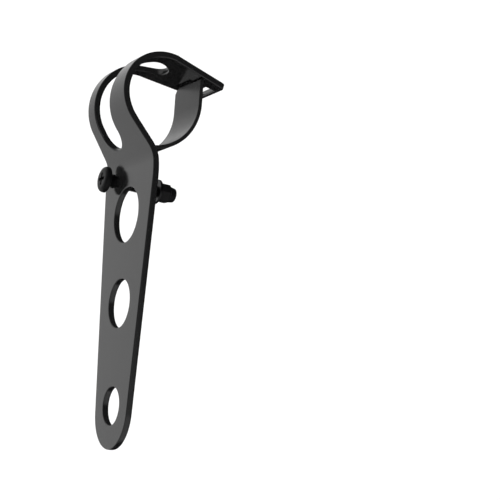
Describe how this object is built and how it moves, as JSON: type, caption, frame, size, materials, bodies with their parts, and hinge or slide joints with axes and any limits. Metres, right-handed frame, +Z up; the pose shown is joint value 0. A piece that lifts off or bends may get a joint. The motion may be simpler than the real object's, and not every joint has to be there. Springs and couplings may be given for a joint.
{
  "type": "headlight bracket",
  "caption": "Folded black headlight bracket: a long pierced arm hangs from a curled fork loop that a hooked strap and a screw close",
  "frame": {"origin": "centre of the fork tube that the loop is curved for, half way across the plate", "axes": "+Y along the fork tube towards the screw's edge of the plate, +Z up, so the arm hangs down along -Z with its outer face towards -X"},
  "size_m": [0.0602, 0.057, 0.1974],
  "materials": {
    "plate_coat": "smooth semi-gloss black coat over pressed steel",
    "strap_coat": "semi-gloss black coat over thin sheet steel",
    "black_steel": "black plated steel with a dull shine",
    "washer_steel": "plain plated steel"
  },
  "bodies": {
    "root": {"bracket_plate": "plate_coat", "clamp_strap": "strap_coat", "clamp_screw": "black_steel", "washer": "washer_steel", "lock_nut": "black_steel"}
  },
  "joints": []
}
